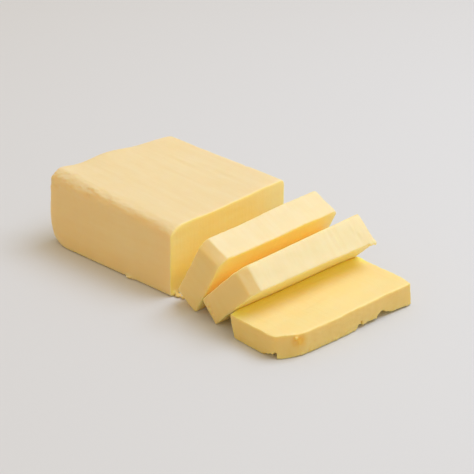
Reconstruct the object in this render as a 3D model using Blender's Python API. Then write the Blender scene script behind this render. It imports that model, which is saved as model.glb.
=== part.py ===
"""A block of butter, cut part of the way: what is left of the block, and three slices that have
fallen forward in a row. Two of them lean on the next one, and the last lies flat on its front face.

X runs along the block, from the uncut end to the last slice. Y runs across it, and its low side is
called the near side here. Z is up. The origin is the middle of the underside of the whole.
"""

import math

import bmesh
import bpy
import numpy as np
from mathutils import Vector
from mathutils.bvhtree import BVHTree

# What is left of the block, in metres: its near side runs a little further back than its far side
WIDTH = 0.072
CUT_HEIGHT = 0.0314
FAR_SIDE_LENGTH = 0.0716
NEAR_SIDE_LENGTH = 0.0764
NEAR_END_FOOT = 0.0024
NEAR_END_RISE = 0.0054
FAR_END_RISE = 0.0016
END_DIP = 0.0012
END_CROWN = 0.0014
END_ROUND = 0.0030
WORN_CORNER = (0.0118, 0.0052, 0.0070)

# How wide the top edge of the near side is worn: the share of the length from the cut to the
# uncut end, the wear across the top, and the wear down the side
NEAR_EDGE = ((0.00, 0.0068, 0.0028), (0.12, 0.0038, 0.0028), (0.50, 0.0022, 0.0026),
             (0.76, 0.0044, 0.0034), (1.00, 0.0052, 0.0043))

# Edges that are alike on every piece
FAR_EDGE = 0.0024
FOOT_EDGE = 0.0009
CUT_EDGE = 0.0005
FACET = 1.25
ROUND = 2.0

# The clear distance kept between pieces, along X where one leans on the next
LEAN_GAP = 0.0005

# Each slice: its thickness, the share by which it thickens from its near side to its far side, its
# width and height, where its foot stands in front of the cut face, how far it lies to the far side,
# its lean and turn in degrees, its bend forward from foot to top in degrees, the wear of its near
# top edge across and down, and that of the heel behind its foot
SLICES = {
    "slice_1": dict(thick=0.0134, taper=0.12, width=0.0715, height=0.0324, foot=0.0178,
                    aside=-0.0032, lean=30.5, turn=-2.2, bend=-6.0,
                    near_edge=(0.0042, 0.0036), heel=0.0012),
    "slice_2": dict(thick=0.0131, taper=0.18, width=0.0720, height=0.0318, foot=0.0336,
                    aside=-0.0048, lean=45.5, turn=-4.4, bend=-2.0,
                    near_edge=(0.0054, 0.0042), heel=0.0014),
    "slice_3": dict(thick=0.0102, taper=0.0, width=0.0756, height=0.0314, foot=0.0452,
                    aside=-0.0061, lean=90.0, turn=-5.0, bend=0.0,
                    near_edge=(0.0112, 0.0062), heel=0.0006),
}

# Bites torn out of the last slice where its front face meets its top: the place across the width,
# the width of the bite and its depth
TOP_BITES = ((0.0085, 0.0052, 0.0016), (0.0212, 0.0066, 0.0022))

# The scrap that sticks out of the far top corner of the second slice
SCRAP_REACH = 0.0011

PALE_BUTTER = (0.91, 0.72, 0.39, 1.0)
CUT_BUTTER = (0.94, 0.72, 0.33, 1.0)


def clear_scene():
    """Removes every object that the file starts with."""
    for item in list(bpy.data.objects):
        bpy.data.objects.remove(item)


def butter_material(name, colour, roughness):
    """Firm cold butter: matte, with a faint greasy sheen."""
    material = bpy.data.materials.new(name)
    material.use_nodes = True
    shader = material.node_tree.nodes["Principled BSDF"]
    shader.inputs["Base Color"].default_value = colour
    shader.inputs["Roughness"].default_value = roughness
    shader.inputs["Metallic"].default_value = 0.0
    return material


def grid_lines(low, high, low_wear, high_wear, cells):
    """Places for the cuts along one direction: close together in the wear at each end."""
    start = [low + low_wear * share for share in (0.0, 0.3, 0.65)]
    stop = [high - high_wear * share for share in (0.65, 0.3, 0.0)]
    middle = np.linspace(low + low_wear, high - high_wear, cells + 1)
    return start + list(middle) + stop


def sawn_box(xs, ys, zs):
    """A solid box whose faces are divided along the given lines."""
    bm = bmesh.new()
    bmesh.ops.create_cube(bm, size=1.0)
    low = Vector((xs[0], ys[0], zs[0]))
    high = Vector((xs[-1], ys[-1], zs[-1]))
    for v in bm.verts:
        v.co = Vector(low[i] + (v.co[i] + 0.5) * (high[i] - low[i]) for i in range(3))
    for axis, lines in enumerate((xs, ys, zs)):
        across = Vector((0.0, 0.0, 0.0))
        across[axis] = 1.0
        for line in lines[1:-1]:
            everything = bm.verts[:] + bm.edges[:] + bm.faces[:]
            bmesh.ops.bisect_plane(bm, geom=everything, plane_co=across * line, plane_no=across,
                                   dist=1e-7)
    return bm


def worn_edge(depth_a, depth_b, reach_a, reach_b, fullness):
    """Depths below two faces that meet at an edge, once the edge is worn over its two reaches.
    Fullness 1 gives a flat facet, and 2 gives a round."""
    u = 1.0 - depth_a / reach_a
    v = 1.0 - depth_b / reach_b
    if u <= 0.0 or v <= 0.0:
        return depth_a, depth_b
    shrink = max(u, v) / (u ** fullness + v ** fullness) ** (1.0 / fullness)
    return reach_a * (1.0 - u * shrink), reach_b * (1.0 - v * shrink)


def worn_section(y, z, width, height, near_edge):
    """A point of the plain upright section, moved to where it lies on the worn one."""
    side = -1.0 if y < 0.0 else 1.0
    inward = width / 2 - abs(y)
    if z < height / 2:
        inward, z = worn_edge(inward, z, FOOT_EDGE, FOOT_EDGE, ROUND)
    else:
        across, down = near_edge if side < 0.0 else (FAR_EDGE, FAR_EDGE)
        inward, below = worn_edge(inward, height - z, across, down, FACET if side < 0.0 else ROUND)
        z = height - below
    return side * (width / 2 - inward), z


def drawn_in(y, z, width, height, depth, radius):
    """The section near an end: it draws in where the edge of the end is rounded."""
    if depth >= radius:
        return y, z
    inset = radius - math.sqrt(radius ** 2 - (radius - max(depth, 0.0)) ** 2)
    middle = height / 2
    return y * (1.0 - 2.0 * inset / width), middle + (z - middle) * (1.0 - 2.0 * inset / height)


def hump(value, centre, spread):
    """A smooth rise to 1 at the centre that fades over the spread."""
    return math.exp(-((value - centre) / spread) ** 2)


def block_rise(along, across):
    """How far the block's top stands over its height at the cut. Along runs from 0 at the cut to 1
    at the uncut end, and across from 0 at the near side to 1 at the far side."""
    slope = along * (NEAR_END_RISE * (1.0 - across) + FAR_END_RISE * across)
    at_end = hump(along, 1.0, 0.20)
    wave = END_CROWN * hump(across, 0.46, 0.17) - END_DIP * hump(across, 0.24, 0.12)
    ripple = 0.00022 * math.sin(7.0 * along + 1.0) * math.sin(8.0 * across + 0.5)
    return slope + wave * at_end + ripple


def block_point(x, y, z):
    """A point of the plain block, moved to where it lies on the real one."""
    along = -x / FAR_SIDE_LENGTH
    shares, acrosses, downs = zip(*NEAR_EDGE)
    near_edge = (np.interp(along, shares, acrosses), np.interp(along, shares, downs))
    y, z = worn_section(y, z, WIDTH, CUT_HEIGHT, near_edge)
    y, z = drawn_in(y, z, WIDTH, CUT_HEIGHT, x + FAR_SIDE_LENGTH, END_ROUND)
    y, z = drawn_in(y, z, WIDTH, CUT_HEIGHT, -x, CUT_EDGE)
    across = y / WIDTH + 0.5
    z += block_rise(along, across) * z / CUT_HEIGHT
    y += 0.00025 * math.sin(9.0 * along) * math.sin(math.pi * z / CUT_HEIGHT)
    foot = NEAR_END_FOOT * (1.0 - z / CUT_HEIGHT)
    x -= (NEAR_SIDE_LENGTH - FAR_SIDE_LENGTH + foot) * along * (1.0 - across)
    depths = (x + NEAR_SIDE_LENGTH + NEAR_END_FOOT, y + WIDTH / 2, z)
    short = 1.0 - sum(depth / reach for depth, reach in zip(depths, WORN_CORNER))
    if short > 0.0:
        x, y, z = (place + reach * short / 3.0
                   for place, reach in zip((x, y, z), WORN_CORNER))
    return Vector((x, y, z))


def slice_point(x, y, z, size, phase):
    """A point of a plain slice, its front face at x = 0, moved to where it lies on the worn one."""
    thick, width, height = size["thick"], size["width"], size["height"]
    y, z = worn_section(y, z, width, height, size["near_edge"])
    y, z = drawn_in(y, z, width, height, x + thick, CUT_EDGE)
    y, z = drawn_in(y, z, width, height, -x, CUT_EDGE)
    back, z = worn_edge(x + thick, z, size["heel"], size["heel"], FACET)
    across = y / width
    up = z / height
    z += 0.0003 * up * math.sin(9.0 * across + phase)
    x = (back - thick) * (1.0 + size["taper"] * across)
    x += 0.0008 * up * (1.0 - up) * math.sin(7.0 * across + 2.0 * phase)
    return x, y, z


def bent(x, y, z, size):
    """A point of an upright slice that bends forward by a number of degrees from foot to top."""
    if not size["bend"]:
        return x, y, z
    curve = math.radians(size["bend"]) / size["height"]
    angle = curve * z
    front = (1.0 - math.cos(angle)) / curve
    up = math.sin(angle) / curve
    return front + x * math.cos(angle), y, up - x * math.sin(angle)


def bitten(x, y, z, size):
    """The bites torn out of the last slice, where its top meets its front face."""
    low = (1.0 + x / size["thick"]) ** 2 * hump(z, size["height"], 0.0035)
    for place, wide, deep in TOP_BITES:
        x -= deep * hump(y, place, wide / 2) * low
    return x, y, z


def scrap_pulled(x, y, z, size):
    """The soft scrap drawn out of the far top corner of the second slice by the knife."""
    pull = SCRAP_REACH * hump(x, 0.0, 0.0016)
    pull *= hump(y, size["width"] / 2, 0.0016) * hump(z, size["height"], 0.0016)
    return x + pull / 2, y + pull, z


def solid(name, bm, material):
    """Makes one named object of a shaped mesh."""
    bmesh.ops.recalc_face_normals(bm, faces=bm.faces)
    mesh = bpy.data.meshes.new(name)
    bm.to_mesh(mesh)
    bm.free()
    mesh.materials.append(material)
    mesh.shade_smooth()
    mesh.set_sharp_from_angle(angle=math.radians(35.0))
    item = bpy.data.objects.new(name, mesh)
    bpy.context.scene.collection.objects.link(item)
    return item


def make_block(material):
    """What is left of the block, its cut face at x = 0."""
    bm = sawn_box(grid_lines(-FAR_SIDE_LENGTH, 0.0, END_ROUND, CUT_EDGE, 20),
                  grid_lines(-WIDTH / 2, WIDTH / 2, 0.0068, FAR_EDGE, 13),
                  grid_lines(0.0, CUT_HEIGHT, FOOT_EDGE, 0.0043, 4))
    for v in bm.verts:
        v.co = block_point(*v.co)
    return solid("butter_block", bm, material)


def make_slice(name, size, phase, material):
    """One slice, stood on its foot and then leant and turned as it has fallen."""
    thick, width, height = size["thick"], size["width"], size["height"]
    across, down = size["near_edge"]
    bm = sawn_box(grid_lines(-thick, 0.0, size["heel"], CUT_EDGE, 2),
                  grid_lines(-width / 2, width / 2, across, FAR_EDGE, 16),
                  grid_lines(0.0, height, FOOT_EDGE, down, 5))
    damage = {"slice_2": scrap_pulled, "slice_3": bitten}.get(name)
    for v in bm.verts:
        place = slice_point(*v.co, size, phase)
        if damage:
            place = damage(*place, size)
        v.co = bent(*place, size)
    item = solid(name, bm, material)
    item.rotation_euler = (0.0, math.radians(size["lean"]), math.radians(size["turn"]))
    item.location = (size["foot"], size["aside"], 0.0)
    bpy.context.view_layer.update()
    item.location.z -= min(corner.z for corner in world_corners(item))
    bpy.context.view_layer.update()
    return item


def world_corners(item):
    """The corners of an object's mesh, where they lie in the scene."""
    return [item.matrix_world @ v.co for v in item.data.vertices]


def clear_distance(behind, ahead):
    """The shortest way along X from one piece to the piece ahead of it."""
    forward = Vector((1.0, 0.0, 0.0))
    found = []
    for piece, other, way in ((behind, ahead, forward), (ahead, behind, -forward)):
        faces = [face.vertices[:] for face in other.data.polygons]
        tree = BVHTree.FromPolygons(world_corners(other), faces)
        for corner in world_corners(piece):
            start = corner - way * WIDTH
            hit = tree.ray_cast(start, way)
            if hit[0] is not None:
                found.append(hit[3] - WIDTH)
    return min(found)


def rest_against(behind, ahead):
    """Draws the piece ahead back until the piece behind leans on it."""
    ahead.location.x -= clear_distance(behind, ahead) - LEAN_GAP
    bpy.context.view_layer.update()


def centre_on_underside(items):
    """Hangs every piece on one empty, placed so that the origin is under the middle of the whole."""
    corners = [corner for item in items for corner in world_corners(item)]
    low = Vector(min(c[i] for c in corners) for i in range(3))
    high = Vector(max(c[i] for c in corners) for i in range(3))
    whole = bpy.data.objects.new("butter", None)
    bpy.context.scene.collection.objects.link(whole)
    whole.location = (-(low.x + high.x) / 2, -(low.y + high.y) / 2, -low.z)
    for item in items:
        item.parent = whole


def make_butter():
    """The whole: the block first, then the slices from it to the one that lies flat."""
    clear_scene()
    pale = butter_material("pale_butter", PALE_BUTTER, 0.45)
    block = make_block(pale)
    slices = []
    for number, (name, size) in enumerate(SLICES.items()):
        cut = butter_material(name + "_butter", CUT_BUTTER, 0.42)
        slices.append(make_slice(name, size, 1.3 * number, cut))
    for behind, ahead in zip(slices, slices[1:]):
        rest_against(behind, ahead)
    centre_on_underside([block] + slices)


make_butter()
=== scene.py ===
"""A block of butter, cut part of the way, with three slices that have fallen forward from it.

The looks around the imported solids: every piece is worked up from its own solid, so it lies where
the solid lies. X runs along the block to the slices, and the low Y side is called the near side.
"""

import math
import random

import bpy
import numpy as np
from mathutils import Euler, Matrix, Vector


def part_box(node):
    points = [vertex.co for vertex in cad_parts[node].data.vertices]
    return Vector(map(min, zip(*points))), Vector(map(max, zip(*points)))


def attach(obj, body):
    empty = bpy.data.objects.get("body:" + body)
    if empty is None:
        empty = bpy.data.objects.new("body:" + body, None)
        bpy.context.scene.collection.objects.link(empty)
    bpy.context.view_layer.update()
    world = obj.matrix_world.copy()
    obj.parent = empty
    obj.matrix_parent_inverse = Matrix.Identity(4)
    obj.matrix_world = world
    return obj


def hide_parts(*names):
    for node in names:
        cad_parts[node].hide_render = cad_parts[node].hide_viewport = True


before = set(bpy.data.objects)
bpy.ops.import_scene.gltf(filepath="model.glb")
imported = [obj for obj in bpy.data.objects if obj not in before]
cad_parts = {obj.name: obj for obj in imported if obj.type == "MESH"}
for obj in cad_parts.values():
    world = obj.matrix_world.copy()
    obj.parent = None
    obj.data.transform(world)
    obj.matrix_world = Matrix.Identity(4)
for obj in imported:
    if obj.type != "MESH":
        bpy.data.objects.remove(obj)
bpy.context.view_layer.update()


# The block that is left: firm cold butter, pressed into a block and wrapped, so its outside is smooth
# with soft lengthwise folds, and its corners have worn. Its cut face was made with a table knife.

BLOCK_GRAIN = 0.0005
BLOCK_TOP = 0.0314
WRAP_GROOVES = ((-0.0430, 0.0200, 0.0120, 0.000096), (-0.0300, 0.0090, 0.0150, 0.000072),
                (-0.0480, 0.0020, 0.0110, 0.000072), (-0.0200, 0.0240, 0.0090, 0.000084))
RIM_PULLS = 15
RIM_SEED = 7


def pick(piece):
    """Leaves only this piece selected and active."""
    bpy.ops.object.select_all(action="DESELECT")
    piece.select_set(True)
    bpy.context.view_layer.objects.active = piece


def work(piece, kind, **settings):
    """Adds one modifier to a piece and applies it."""
    pick(piece)
    tool = piece.modifiers.new(kind.lower(), kind)
    for name, value in settings.items():
        setattr(tool, name, value)
    bpy.ops.object.modifier_apply(modifier=tool.name)


def from_solid(node, name):
    """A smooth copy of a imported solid, with its triangles merged into one skin of quads."""
    piece = bpy.data.objects.new(name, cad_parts[node].data.copy())
    bpy.context.scene.collection.objects.link(piece)
    piece.data.materials.clear()
    pick(piece)
    bpy.ops.object.mode_set(mode="EDIT")
    bpy.ops.mesh.select_all(action="SELECT")
    bpy.ops.mesh.remove_doubles(threshold=1e-6)
    bpy.ops.mesh.tris_convert_to_quads()
    bpy.ops.object.mode_set(mode="OBJECT")
    work(piece, "SUBSURF", levels=2, render_levels=2)
    return piece


def lump(place, size, turn=(0.0, 0.0, 0.0)):
    """A small rough lump of butter: a ball, flattened, stretched and turned."""
    bpy.ops.object.select_all(action="DESELECT")
    bpy.ops.mesh.primitive_ico_sphere_add(subdivisions=3, radius=1.0, location=place, scale=size,
                                          rotation=[math.radians(angle) for angle in turn])
    ball = bpy.context.object
    bpy.ops.object.transform_apply(location=False, rotation=True, scale=True)
    crumple = bpy.data.textures.new("crumple", "CLOUDS")
    crumple.noise_scale = max(size) * 0.8
    work(ball, "DISPLACE", texture=crumple, texture_coords="LOCAL", mid_level=0.5,
         strength=min(size) * 0.7)
    bpy.ops.object.transform_apply(location=True, rotation=False, scale=False)
    return ball


def join_lumps(piece, lumps):
    """Makes the lumps part of the piece's mesh: the remesh that follows melts them together."""
    bpy.ops.object.select_all(action="DESELECT")
    for item in lumps + [piece]:
        item.select_set(True)
    bpy.context.view_layer.objects.active = piece
    bpy.ops.object.join()


def melt(piece, grain):
    """One even closed skin over everything that was joined or cut, with its steps smoothed."""
    work(piece, "REMESH", mode="VOXEL", voxel_size=grain, adaptivity=0.0)
    work(piece, "SMOOTH", factor=0.5, iterations=3)


def corners_of(piece):
    """The places and the directions of all corners of a mesh."""
    count = len(piece.data.vertices)
    places = np.empty(count * 3)
    facings = np.empty(count * 3)
    piece.data.vertices.foreach_get("co", places)
    piece.data.vertices.foreach_get("normal", facings)
    return places.reshape(-1, 3), facings.reshape(-1, 3)


def fade(values, full, none):
    """1 where a value is at full, falling smoothly to 0 where it is at none."""
    share = np.clip((values - none) / (full - none), 0.0, 1.0)
    return share * share * (3.0 - 2.0 * share)


def share_out(piece, weights, least=0.01):
    """Notes how strongly the next modifier acts on each corner, where that is more than the least."""
    group = piece.vertex_groups.new(name="share")
    for number in np.flatnonzero(weights > least):
        group.add([int(number)], float(weights[number]), "REPLACE")


def relief(piece, weights, size, height, turn=None, seed=0.0):
    """Uneven relief over a piece: how strong at each corner, the size of its waves along the three
    directions of the turn, and its height from the lowest to the highest, all in metres."""
    guide = bpy.data.objects.new("guide", None)
    bpy.context.scene.collection.objects.link(guide)
    base = turn.to_4x4() if turn else Matrix.Identity(4)
    guide.matrix_world = Matrix.Translation(base @ Vector((seed, seed, seed))) @ base @ Matrix.Diagonal(
        (*size, 1.0))
    bpy.context.view_layer.update()
    waves = bpy.data.textures.new("waves", "CLOUDS")
    waves.noise_scale = 1.0
    share_out(piece, weights, 0.004)
    work(piece, "DISPLACE", texture=waves, texture_coords="OBJECT", texture_coords_object=guide,
         vertex_group="share", mid_level=0.5, strength=height * 1.6)
    piece.vertex_groups.clear()
    bpy.data.objects.remove(guide)


def press(piece, place, reach, move):
    """Presses or draws the skin around a place: the reach is along X, Y and Z."""
    places, _ = corners_of(piece)
    away = (((places - np.array(place)) / np.array(reach)) ** 2).sum(1)
    places += np.exp(-away)[:, None] * np.array(move)
    piece.data.vertices.foreach_set("co", places.ravel())
    piece.data.update()


def note(piece, name, share):
    """Notes for the material how far each corner is on a face of some kind: "cut" for the faces that
    the knife made, a paler colour on faces turned up, which is painted light, and a deeper yellow low in
    the gaps and under the leaning slice, which is a painted glow of light that bounces between pieces."""
    kept = piece.data.attributes.new(name, "FLOAT", "POINT")
    kept.data.foreach_set("value", share.astype(np.float32))


block_low, block_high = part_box("butter_block")
block_middle = (block_low.y + block_high.y) / 2
near_y = block_low.y
cut_x = block_high.x

butter_block = from_solid("butter_block", "block_of_butter")
join_lumps(butter_block, [
    lump((-0.0250, near_y + 0.0007, 0.0010), (0.0021, 0.0018, 0.0010), (0, 0, 8)),
    lump((-0.0226, near_y + 0.0013, 0.0009), (0.0012, 0.0015, 0.0009), (0, 0, -15)),
    lump((-0.0655, near_y + 0.0020, 0.0011), (0.0026, 0.0020, 0.0011), (0, 0, -12)),
    lump((cut_x - 0.0006, near_y + 0.0020, 0.0012), (0.0016, 0.0019, 0.0012), (0, 15, 10))])
melt(butter_block, BLOCK_GRAIN)

places, facings = corners_of(butter_block)
on_cut = fade(facings[:, 0], 0.85, 0.55) * fade(places[:, 0], cut_x - 0.0012, cut_x - 0.0030)
on_foot = fade(facings[:, 2], -0.9, -0.5)
outside = (1.0 - on_cut) * (1.0 - on_foot)
lifted = fade(places[:, 2], 0.0040, 0.0008)
near_edge = (fade(places[:, 1], near_y + 0.0010, near_y + 0.0090)
             * fade(places[:, 2], BLOCK_TOP - 0.0005, BLOCK_TOP - 0.0070) * (1.0 - on_cut))
relief(butter_block, outside * lifted, (0.026, 0.020, 0.020), 0.00040)
relief(butter_block, outside * lifted, (0.034, 0.0040, 0.0040), 0.00008, seed=0.013)
relief(butter_block, near_edge, (0.0080, 0.0036, 0.0036), 0.00060, seed=0.031)
relief(butter_block, near_edge * fade(places[:, 0], -0.050, -0.010), (0.0022, 0.0014, 0.0014),
       0.00040, seed=0.037)
relief(butter_block, outside * lifted, (0.0016, 0.0011, 0.0011), 0.00004, seed=0.052)
relief(butter_block, on_cut * lifted, (0.010, 0.018, 0.0045), 0.00022, seed=0.07)
relief(butter_block, on_cut * lifted, (0.010, 0.0020, 0.020), 0.00003, seed=0.09)

press(butter_block, (-0.0492, -0.0285, 0.0343), (0.0024, 0.0016, 0.0016), (0.0, -0.0003, 0.0005))
press(butter_block, (-0.0219, block_high.y, 0.0322), (0.0010, 0.0020, 0.0016),
      (0.0, -0.0003, -0.0006))
for along, across, length, depth in WRAP_GROOVES:
    press(butter_block, (along, across, 0.0328), (length, 0.0011, 0.0030), (0.0, 0.0, -depth))
    press(butter_block, (along, across + 0.0022, 0.0328), (length, 0.0012, 0.0030), (0.0, 0.0, depth))
random.seed(RIM_SEED)
for _ in range(RIM_PULLS):
    height = random.uniform(0.0015, 0.0280)
    press(butter_block, (cut_x, near_y, height), (0.0006, 0.0006, random.uniform(0.0010, 0.0030)),
          (random.uniform(0.0, 0.0002), -random.uniform(0.0001, 0.00035), 0.0))

places, facings = corners_of(butter_block)
note(butter_block, "cut",
     fade(facings[:, 0], 0.85, 0.45) * fade(places[:, 0], cut_x - 0.0012, cut_x - 0.0030))
# Painted light: faces turned up take the paler top colour, and the far end, turned away along X, takes
# it too as a painted highlight on its rounded edge.
note(butter_block, "painted_light",
     np.maximum(fade(facings[:, 2], 0.92, 0.30), 0.7 * fade(-facings[:, 0], 0.80, 0.10)))
# Painted glow: the low part of the cut face gets a deeper yellow, for light bounced in the gap by the
# first slice.
note(butter_block, "painted_glow", fade(places[:, 2], 0.0070, 0.0220))
pick(butter_block)
bpy.ops.object.shade_smooth()


class Shade:
    """A socket of a material's nodes: sums written with it add their own Math nodes."""

    def __init__(self, tree, socket=None):
        self.tree = tree
        self.socket = socket

    def node(self, kind, settings, values, out=0):
        """Adds a node: its settings first, then the values or links of its sockets."""
        made = self.tree.nodes.new(kind)
        for name, value in settings.items():
            setattr(made, name, value)
        for name, value in values.items():
            if isinstance(value, Shade):
                self.tree.links.new(value.socket, made.inputs[name])
            else:
                made.inputs[name].default_value = value
        return Shade(self.tree, made.outputs[out] if len(made.outputs) else None)

    def maths(self, operation, first, second):
        return self.node("ShaderNodeMath", {"operation": operation}, {0: first, 1: second})

    def __add__(self, other):
        return self.maths("ADD", self, other)

    __radd__ = __add__

    def __sub__(self, other):
        return self.maths("SUBTRACT", self, other)

    def __rsub__(self, other):
        return self.maths("SUBTRACT", other, self)

    def __mul__(self, other):
        return self.maths("MULTIPLY", self, other)

    __rmul__ = __mul__

    def noise(self, place, scale, detail=2.0, rough=0.5):
        """Soft noise over a place, from about 0 to 1."""
        return self.node("ShaderNodeTexNoise", {}, {"Vector": place, "Scale": scale, "Detail": detail,
                                                    "Roughness": rough})

    def between(self, value, low, high):
        """0 where a value is at low or under it, rising smoothly to 1 at high."""
        return self.node("ShaderNodeMapRange", {"interpolation_type": "SMOOTHSTEP"},
                         {"Value": value, "From Min": low, "From Max": high})

    def blend(self, share, first, second):
        """One colour where the share is 0, and another where it is 1."""
        return self.node("ShaderNodeMix", {"data_type": "RGBA"}, {0: share, 6: first, 7: second}, out=2)

    def near(self, place, spot, reach):
        """1 at a spot, fading to 0 at its reach."""
        away = self.node("ShaderNodeVectorMath", {"operation": "DISTANCE"}, {0: place, 1: spot}, out=1)
        return 1.0 - self.between(away, 0.0, reach)


def shift(colour, red, green, blue):
    """A colour a little lighter or darker in each channel, and never quite white."""
    return (min(colour[0] * red, 0.995), min(colour[1] * green, 0.97), min(colour[2] * blue, 0.97), 1.0)


def butter(name, skin, top, inside, turn=(0.0, 0.0, 0.0), smears=(), deep=None):
    """The material of one piece: the colours of its sides, of its faces turned up, which are paler as
    painted light, and of its cut faces, brighter and deeper yellow partly as fresh butter and partly as
    painted glow of the gaps. The turn is that of the piece, so that streaks follow it. The smears are
    deeper yellow spots, each with its place, its reach and its strength. The deep colour is a painted
    glow: deeper yellow on a cut face where it lies low in a gap or under a leaning slice."""
    made = bpy.data.materials.new(name)
    made.use_nodes = True
    tree = made.node_tree
    tree.nodes.clear()
    shade = Shade(tree)
    spot = shade.node("ShaderNodeTexCoord", {}, {}, out="Object")
    along = shade.node("ShaderNodeMapping", {"vector_type": "TEXTURE"},
                       {"Vector": spot, "Rotation": turn, "Scale": (0.030, 0.0030, 0.0030)})
    across = shade.node("ShaderNodeMapping", {"vector_type": "TEXTURE"},
                        {"Vector": spot, "Rotation": turn, "Scale": (0.004, 0.0014, 0.030)})
    cut = shade.node("ShaderNodeAttribute", {"attribute_name": "cut"}, {}, out="Fac")
    painted_light = shade.node("ShaderNodeAttribute", {"attribute_name": "painted_light"}, {}, out="Fac")
    broad = shade.noise(spot, 48.0, 3.0)
    patches = shade.noise(spot, 150.0, 3.0)
    grain = shade.noise(spot, 900.0, 2.0)
    streaks = shade.noise(along, 1.0, 3.0)
    drags = shade.noise(across, 1.0, 2.0)
    lines = streaks * (1.0 - cut) + drags * cut
    tone = 0.45 * broad + 0.25 * patches + 0.30 * lines
    level = shade.between(tone, 0.30, 0.70)
    outer = shade.blend(level, shift(skin, 0.990, 0.965, 0.90), shift(skin, 1.01, 1.03, 1.08))
    # Painted light: the paler colour of the faces turned up, where the lamp falls.
    upper = shade.blend(shade.between(0.6 * lines + 0.4 * patches, 0.30, 0.70),
                        shift(top, 0.99, 0.975, 0.93), shift(top, 1.01, 1.025, 1.07))
    outer = shade.blend(painted_light, outer, upper)
    # The cut faces are brighter and deeper yellow than the skin: partly as fresh butter, partly as
    # painted glow of the gaps they face.
    inner = shade.blend(level, shift(inside, 0.995, 0.965, 0.88), shift(inside, 1.0, 1.01, 1.05))
    # Painted glow: a deeper yellow on the cut faces where they lie low in a gap or under a leaning
    # slice.
    if deep:
        painted_glow = shade.node("ShaderNodeAttribute", {"attribute_name": "painted_glow"}, {}, out="Fac")
        inner = shade.blend(painted_glow * shade.between(broad, 0.1, 0.6), inner, (*deep, 1.0))
    colour = shade.blend(cut, outer, inner)
    for place, reach, strength in smears:
        blot = shade.near(spot, place, reach) * strength * shade.between(patches, 0.25, 0.6)
        colour = shade.blend(blot, colour, (0.86, 0.52, 0.07, 1.0))
    rough = 0.40 + 0.16 * grain + 0.10 * patches - 0.06 * cut
    bumps = shade.node("ShaderNodeBump", {}, {"Strength": 0.35, "Distance": 0.0002,
                                              "Height": 0.6 * grain + 0.5 * lines + 0.5 * patches})
    surface = shade.node("ShaderNodeBsdfPrincipled", {"subsurface_method": "RANDOM_WALK"}, {
        "Base Color": colour, "Roughness": rough, "Normal": bumps, "IOR": 1.45,
        "Subsurface Weight": 0.8, "Subsurface Radius": (1.0, 0.80, 0.50), "Subsurface Scale": 0.003,
        "Coat Weight": 0.06, "Coat Roughness": 0.35})
    shade.node("ShaderNodeOutputMaterial", {}, {"Surface": surface})
    return made


# The second colour, for faces turned up, is painted light; the deep colour is the painted glow low on
# the cut face.
butter_block.data.materials.append(butter(
    "block_butter", (0.925, 0.674, 0.286), (0.850, 0.703, 0.378), (0.995, 0.805, 0.330),
    smears=[((-0.0583, 0.0322, 0.0331), 0.014, 0.10)], deep=(0.995, 0.735, 0.185)))
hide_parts("butter_block")
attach(butter_block, "root")


# The first two slices: cut from the block with the same knife, which bowed them and left their cut
# faces with faint ripples. They have fallen forward and lean on the piece ahead. Their tops and ends
# are the outside of the block.

SLICE_GRAIN = 0.00036
HEEL_ROUNDS = 24


def slice_turn(lean, turn):
    """How a slice is turned: leant forward about its foot, then turned about the upright."""
    return Euler((0.0, math.radians(lean), math.radians(turn)))


def cut_share(piece, turn):
    """How far each corner of a slice is on one of its two cut faces."""
    _, facings = corners_of(piece)
    through = np.array(turn.to_matrix().col[0])
    return fade(np.abs(facings @ through), 0.88, 0.60)


def uneven_slice(piece, turn, seed):
    """Gives a slice its ripples, folds and uneven edges."""
    melt(piece, SLICE_GRAIN)
    own_turn = turn.to_matrix()
    places, _ = corners_of(piece)
    lifted = fade(places[:, 2], 0.0030, 0.0006)
    cut = cut_share(piece, turn)
    outside = 1.0 - cut
    edge = 4.0 * cut * (1.0 - cut)
    relief(piece, outside * lifted, (0.010, 0.014, 0.014), 0.00040, own_turn, seed)
    relief(piece, outside * lifted, (0.020, 0.0030, 0.0030), 0.00006, own_turn, seed + 0.01)
    relief(piece, cut * lifted, (0.010, 0.022, 0.0050), 0.00030, own_turn, seed + 0.02)
    relief(piece, cut * lifted, (0.010, 0.0020, 0.020), 0.00003, own_turn, seed + 0.03)
    relief(piece, edge * lifted, (0.0022, 0.0022, 0.0022), 0.00036, own_turn, seed + 0.04)


def worn_facet(piece, turn, across, down):
    """Cuts the near top edge off flat, as a knife handle or a thumb would press it. The turn is that
    of the slice at its top."""
    to_row = turn.to_matrix()
    own = corners_of(piece)[0] @ np.array(to_row)
    near, top = own[:, 1].min(), own[:, 2].max()
    middle = to_row @ Vector((own[:, 0].mean(), near + across / 2, top - down / 2))
    outward = to_row @ Vector((0.0, -down, across)).normalized()
    pick(piece)
    bpy.ops.object.mode_set(mode="EDIT")
    bpy.ops.mesh.select_all(action="SELECT")
    bpy.ops.mesh.bisect(plane_co=middle, plane_no=outward, use_fill=True, clear_outer=True)
    bpy.ops.object.mode_set(mode="OBJECT")


def soften(piece, weights, rounds):
    """Rounds the skin off where the weights say so."""
    share_out(piece, weights)
    work(piece, "SMOOTH", factor=0.5, iterations=rounds, vertex_group="share")
    piece.vertex_groups.clear()


def worn_heel(piece, turn, across, down):
    """Rounds the lower side of a worn facet off into the end of the slice."""
    own = corners_of(piece)[0] @ np.array(turn.to_matrix())
    near, top = own[:, 1].min(), own[:, 2].max()
    away = np.hypot(own[:, 1] - near, own[:, 2] - (top - down))
    soften(piece, fade(away, across * 0.3, across * 0.9), HEEL_ROUNDS)


def top_corner(piece, turn):
    """The far corner of a slice's top, at its front face."""
    to_row = turn.to_matrix()
    own = corners_of(piece)[0] @ np.array(to_row)
    on_top = own[own[:, 2] > own[:, 2].max() - 0.0025]
    return to_row @ Vector((on_top[:, 0].max(), own[:, 1].max(), own[:, 2].max()))


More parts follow.
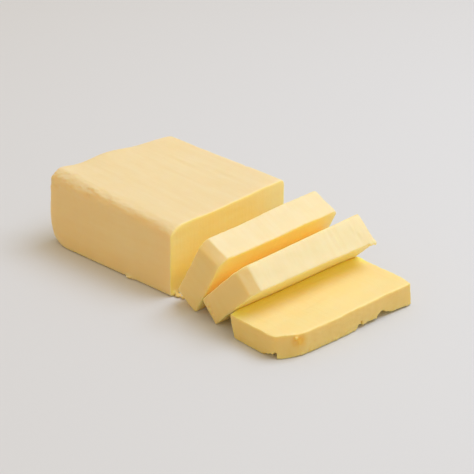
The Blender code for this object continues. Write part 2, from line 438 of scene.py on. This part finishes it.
def finish_slice(piece, node, turn, colours, smears=(), deep=None):
    """Notes the cut faces and the paler faces turned up, which are painted light, and gives the slice
    its butter and its place.
    """
    note(piece, "cut", cut_share(piece, turn))
    upward = np.array(turn.to_matrix().col[2])
    places, facings = corners_of(piece)
    height = places @ upward
    # Painted light: the top few millimetres of the slice take half of the paler top colour too.
    rim = 0.5 * fade(height, height.max() - 0.0010, height.max() - 0.0055)
    note(piece, "painted_light", np.maximum(fade(facings @ upward, 0.97, 0.68), rim))
    pick(piece)
    bpy.ops.object.shade_smooth()
    piece.data.materials.append(butter(node + "_butter", *colours, tuple(turn), smears, deep))
    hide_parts(node)
    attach(piece, "root")


# Each slice is a wedge, so the turn of its top isn't quite that of the slice.
first_turn = slice_turn(30.5, -2.2)
first_top = slice_turn(24.5, -2.2)
first_slice = from_solid("slice_1", "leaning_slice")
worn_facet(first_slice, first_top, 0.0046, 0.0040)
uneven_slice(first_slice, first_turn, 0.11)
worn_heel(first_slice, first_top, 0.0046, 0.0046)
press(first_slice, top_corner(first_slice, first_top), (0.0016, 0.0016, 0.0016),
      (-0.0004, -0.0007, -0.0006))
finish_slice(first_slice, "slice_1", first_turn,
             [(0.890, 0.660, 0.235), (0.880, 0.765, 0.430), (0.995, 0.832, 0.335)])

second_turn = slice_turn(44.5, -4.4)
second_top = slice_turn(43.5, -4.4)
second_slice = from_solid("slice_2", "lower_leaning_slice")
worn_facet(second_slice, second_top, 0.0058, 0.0046)
tip = top_corner(second_slice, second_top)
join_lumps(second_slice, [
    lump(tip + Vector((-0.0012, -0.0012, -0.0006)), (0.0016, 0.0015, 0.0008), (0, 50, 20)),
    lump(tip + Vector((-0.0012, -0.0032, -0.0008)), (0.0009, 0.0016, 0.0007), (0, 45, 0)),
    lump((0.0262, -0.0352, 0.0082), (0.0010, 0.0010, 0.0008)),
    lump((0.0272, -0.0353, 0.0060), (0.0011, 0.0010, 0.0010)),
    lump((0.0290, -0.0354, 0.0040), (0.0010, 0.0010, 0.0009))])
uneven_slice(second_slice, second_turn, 0.23)
worn_heel(second_slice, second_top, 0.0050, 0.0052)
for place, reach in (((0.0502, 0.0246, 0.0284), (0.0030, 0.0009, 0.0030)),
                     ((0.0531, 0.0266, 0.0258), (0.0026, 0.0008, 0.0026)),
                     ((0.0500, 0.0131, 0.0282), (0.0034, 0.0010, 0.0034))):
    press(second_slice, place, reach, (-0.00012, 0.0, -0.00012))
    press(second_slice, Vector(place) + Vector((0.0, 0.0016, 0.0)), reach, (0.0001, 0.0, 0.0001))
finish_slice(second_slice, "slice_2", second_turn,
             [(0.880, 0.645, 0.222), (0.890, 0.780, 0.430), (0.995, 0.832, 0.335)])


# The last slice lies flat on the face that the knife finished last. Its lower edge tore on the way
# down, which left bites in it, and one end has a wide worn corner with a smear of softer butter.

third_turn = slice_turn(90.0, -5.0)
third_low, third_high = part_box("slice_3")
third_slice = from_solid("slice_3", "flat_slice")
worn_facet(third_slice, third_turn, 0.0112, 0.0066)
join_lumps(third_slice, [lump((0.0712, -0.0336, 0.0089), (0.0006, 0.0008, 0.0005)),
                         lump((0.0713, -0.0322, 0.0070), (0.0005, 0.0009, 0.0012))])


def bite(place, size, turn):
    """A rough tool in the shape of a bite, for taking it out of the slice."""
    tool = lump(place, size, turn)
    work(third_slice, "BOOLEAN", operation="DIFFERENCE", object=tool, solver="EXACT")
    bpy.data.objects.remove(tool)


# Two deep bites with raised edges along the front, and a notch in the near side.
bite((0.0752, 0.0018, 0.0000), (0.0080, 0.0017, 0.0023), (0, 0, 6))
bite((0.0753, 0.0032, 0.0000), (0.0050, 0.0007, 0.0038), (12, 0, 0))
bite((0.0757, 0.0085, 0.0000), (0.0070, 0.0060, 0.0014), (0, 0, 0))
bite((0.0762, 0.0150, 0.0002), (0.0110, 0.0030, 0.0034), (0, 0, 4))
bite((0.0764, 0.0172, 0.0000), (0.0080, 0.0034, 0.0022), (0, 0, -6))
bite((0.0774, 0.0250, 0.0000), (0.0060, 0.0070, 0.0009), (0, 0, 0))
bite((0.0652, -0.0405, 0.0000), (0.0008, 0.0060, 0.0030), (0, 12, 0))
bite((0.0640, -0.0405, 0.0000), (0.0017, 0.0050, 0.0021), (0, 0, 0))
bite((0.0622, -0.0408, 0.0000), (0.0020, 0.0040, 0.0011), (0, 0, 0))

# The lower part of the left side is drawn in, and its upper rim lies against the slice that leans on it.
places, _ = corners_of(third_slice)
own = places @ np.array(third_turn.to_matrix())
inward = own[:, 2] - own[:, 2].min()
undercut = 0.0027 * np.clip(1.0 - places[:, 2] / third_high.z, 0.0, 1.0) * fade(inward, 0.0, 0.0090)
places += undercut[:, None] * np.array(third_turn.to_matrix().col[2])
third_slice.data.vertices.foreach_set("co", places.ravel())
leant_on = (fade(inward, 0.0006, 0.0036) * fade(own[:, 0] - own[:, 0].min(), 0.0006, 0.0030)
            * fade(own[:, 1] - own[:, 1].min(), 0.0050, 0.0010))
share_out(third_slice, leant_on)
work(third_slice, "SHRINKWRAP", target=second_slice, wrap_method="NEAREST_SURFACEPOINT",
     wrap_mode="ABOVE_SURFACE", offset=0.00004, vertex_group="share")
third_slice.vertex_groups.clear()
press(third_slice, (0.0705, -0.0385, 0.0000), (0.0036, 0.0036, 0.0050), (0.0008, -0.0015, 0.0))
press(third_slice, (0.0772, 0.0362, 0.0095), (0.0040, 0.0040, 0.0060), (-0.0008, -0.0016, -0.0003))
press(third_slice, (0.0695, 0.0362, 0.0100), (0.0016, 0.0016, 0.0020), (0.0, -0.0006, -0.0003))
melt(third_slice, SLICE_GRAIN)

places, _ = corners_of(third_slice)
cut = cut_share(third_slice, third_turn)
lifted = fade(places[:, 2], 0.0026, 0.0004)
side = 1.0 - cut
relief(third_slice, side * lifted, (0.014, 0.012, 0.010), 0.00040, seed=0.41)
relief(third_slice, side * lifted, (0.0030, 0.0030, 0.0012), 0.00016, seed=0.42)
relief(third_slice, cut * fade(places[:, 2], 0.0060, 0.0030), (0.0070, 0.026, 0.010), 0.00030, seed=0.43)
relief(third_slice, 4.0 * cut * side * lifted, (0.0026, 0.0026, 0.0026), 0.00050, seed=0.44)
torn = side * fade(places[:, 2], 0.0004, 0.0036) * fade(places[:, 0], 0.0735, 0.0690)
relief(third_slice, torn, (0.0014, 0.0012, 0.0012), 0.00060, seed=0.45)
places, _ = corners_of(third_slice)
own = places @ np.array(third_turn.to_matrix())
# Painted glow: a deeper yellow on the top next to the side that the leaning slice overhangs.
note(third_slice, "painted_glow", fade(own[:, 2] - own[:, 2].min(), 0.0010, 0.0110))
finish_slice(third_slice, "slice_3", third_turn,
             [(0.850, 0.620, 0.185), (0.850, 0.630, 0.195), (0.935, 0.762, 0.328)],
             smears=[((0.0719, -0.0322, 0.0070), 0.0044, 2.0)], deep=(0.995, 0.850, 0.150))


# Loose flakes that the knife dropped: thin curled scraps of butter, lying by the foot of the block.

loose_flakes = lump((cut_x + 0.0016, near_y + 0.0026, 0.0007), (0.0017, 0.0014, 0.0007), (0, 0, -12))
loose_flakes.name = "loose_flakes"
join_lumps(loose_flakes, [
    lump((cut_x + 0.0044, near_y + 0.0030, 0.0005), (0.0010, 0.0012, 0.0005), (0, 0, 30))])
note(loose_flakes, "cut", np.ones(len(loose_flakes.data.vertices)))
pick(loose_flakes)
bpy.ops.object.shade_smooth()
# The flakes are a darker amber than the block's cut faces: painted shade of the foot of the block where
# they lie.
loose_flakes.data.materials.append(butter(
    "flake_butter", (0.88, 0.70, 0.34), (0.88, 0.72, 0.38), (0.84, 0.60, 0.22)))
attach(loose_flakes, "root")


# The plain pale floor that the butter is shown on.

bpy.ops.object.select_all(action="DESELECT")
bpy.ops.mesh.primitive_plane_add(size=5.0, location=(0.0, 0.0, -0.00005))
floor = bpy.context.object
floor.name = "floor"
bpy.ops.object.transform_apply(location=True, rotation=True, scale=True)
plain = bpy.data.materials.new("pale_floor")
plain.use_nodes = True
plain.node_tree.nodes["Principled BSDF"].inputs["Base Color"].default_value = (0.68, 0.71, 0.70, 1.0)
plain.node_tree.nodes["Principled BSDF"].inputs["Roughness"].default_value = 0.7
floor.data.materials.append(plain)


# The light: a large soft lamp overhead, a little to the side of the slices, and a dim warm surround.
# The many bounces are for the gaps between the slices, which glow by light that goes to and fro.
LIGHT_BOUNCES = 32


def soft_lamp(name, place, aim, size, watts, colour):
    """A square lamp that faces the place it is aimed at."""
    bpy.ops.object.select_all(action="DESELECT")
    bpy.ops.object.light_add(type="AREA", location=place)
    lamp = bpy.context.object
    lamp.name = name
    lamp.data.size = size
    lamp.data.energy = watts
    lamp.data.color = colour
    lamp.rotation_euler = (Vector(aim) - Vector(place)).to_track_quat("-Z", "Y").to_euler()


soft_lamp("key_lamp", (0.30, 0.42, 1.00), (0.0, 0.0, 0.0), 0.8, 9.12, (0.667, 0.766, 1.0))
surround = bpy.data.worlds.new("surround")
surround.use_nodes = True
surround.node_tree.nodes["Background"].inputs["Color"].default_value = (1.0, 0.827, 0.643, 1.0)
surround.node_tree.nodes["Background"].inputs["Strength"].default_value = 0.6875
bpy.context.scene.world = surround
bpy.context.scene.view_settings.view_transform = "Standard"
bpy.context.scene.cycles.diffuse_bounces = LIGHT_BOUNCES
bpy.context.scene.cycles.max_bounces = LIGHT_BOUNCES


# The camera: a long lens from the front right, a little above the block.

AZIMUTH, ELEVATION, ROLL = math.radians(42.26), math.radians(25.79), math.radians(0.48)
DISTANCE = 0.600
aim = Vector((cut_x + 0.03933, block_middle - 0.03849, 0.04203))
back = Vector((math.sin(AZIMUTH) * math.cos(ELEVATION), -math.cos(AZIMUTH) * math.cos(ELEVATION),
               math.sin(ELEVATION)))
level = (-back).cross(Vector((0.0, 0.0, 1.0))).normalized()
right = math.cos(ROLL) * level + math.sin(ROLL) * level.cross(-back)
up = right.cross(-back)
bpy.ops.object.select_all(action="DESELECT")
bpy.ops.object.camera_add(location=aim + DISTANCE * back)
camera = bpy.context.object
camera.name = "camera"
camera.data.lens = 116.2
camera.data.sensor_width = 36.0
camera.data.clip_start = 0.01
camera.rotation_euler = Matrix((right, up, back)).transposed().to_euler()
bpy.context.scene.camera = camera
